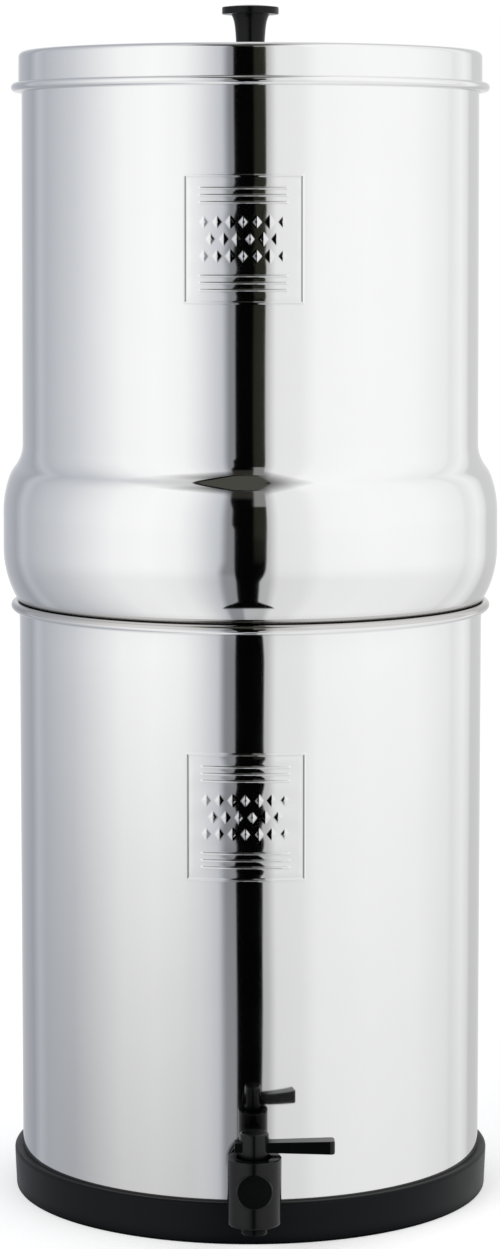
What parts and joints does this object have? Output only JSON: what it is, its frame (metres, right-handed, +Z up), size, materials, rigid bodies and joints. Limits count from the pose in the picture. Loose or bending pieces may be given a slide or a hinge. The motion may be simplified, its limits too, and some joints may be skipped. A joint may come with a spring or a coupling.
{
  "type": "gravity water filter",
  "caption": "Stacked steel chambers with ceramic filter candles between them, a lift-off lid with a knob, a rubber base ring and a quarter-turn tap at the foot.",
  "frame": {"origin": "on the chamber axis, at floor level, in the plane that the base ring stands on", "axes": "+Z up along the chamber axis, -Y towards the tap and the user, +X to the user's right"},
  "size_m": [0.2224, 0.2656, 0.5324],
  "materials": {
    "polished_steel": "mirror-polished stainless steel sheet",
    "screw_steel": "plain bright steel",
    "base_rubber": "satin black rubber",
    "seal_rubber": "matt black rubber",
    "tap_plastic": "satin black moulded plastic",
    "knob_plastic": "satin black moulded plastic",
    "candle_ceramic": "unglazed porous ceramic",
    "white_plastic": "satin white moulded plastic"
  },
  "bodies": {
    "lower": {"lower_chamber": "polished_steel", "base_ring": "base_rubber", "tap_body": "tap_plastic", "tap_outer_washer": "seal_rubber", "tap_inner_washer": "seal_rubber", "tap_nut": "tap_plastic"},
    "upper": {"upper_chamber": "polished_steel", "candle_shell_1": "candle_ceramic", "candle_shell_2": "candle_ceramic", "candle_shell_3": "candle_ceramic", "candle_shell_4": "candle_ceramic", "candle_base_1": "white_plastic", "candle_base_2": "white_plastic", "candle_base_3": "white_plastic", "candle_base_4": "white_plastic", "candle_washer_1": "seal_rubber", "candle_washer_2": "seal_rubber", "candle_washer_3": "seal_rubber", "candle_washer_4": "seal_rubber", "wing_nut_1": "white_plastic", "wing_nut_2": "white_plastic", "wing_nut_3": "white_plastic", "wing_nut_4": "white_plastic"},
    "lid": {"lid_shell": "polished_steel", "lid_knob": "knob_plastic", "lid_screw": "screw_steel", "lid_washer": "screw_steel"},
    "tap_handle": {"tap_rotor": "tap_plastic", "tap_lever": "tap_plastic", "rotor_seal": "seal_rubber"}
  },
  "joints": [
    {"name": "upper_lift", "type": "slide", "parent": "lower", "child": "upper", "axis": [0, 0, 1], "range_m": [0, 0.15]},
    {"name": "lid_lift", "type": "slide", "parent": "upper", "child": "lid", "axis": [0, 0, 1], "range_m": [0, 0.15]},
    {"name": "tap_turn", "type": "hinge", "parent": "lower", "child": "tap_handle", "pos_m": [0, -0.143, 0.036], "axis": [0, 0, 1], "range_deg": [-90, 0]}
  ]
}
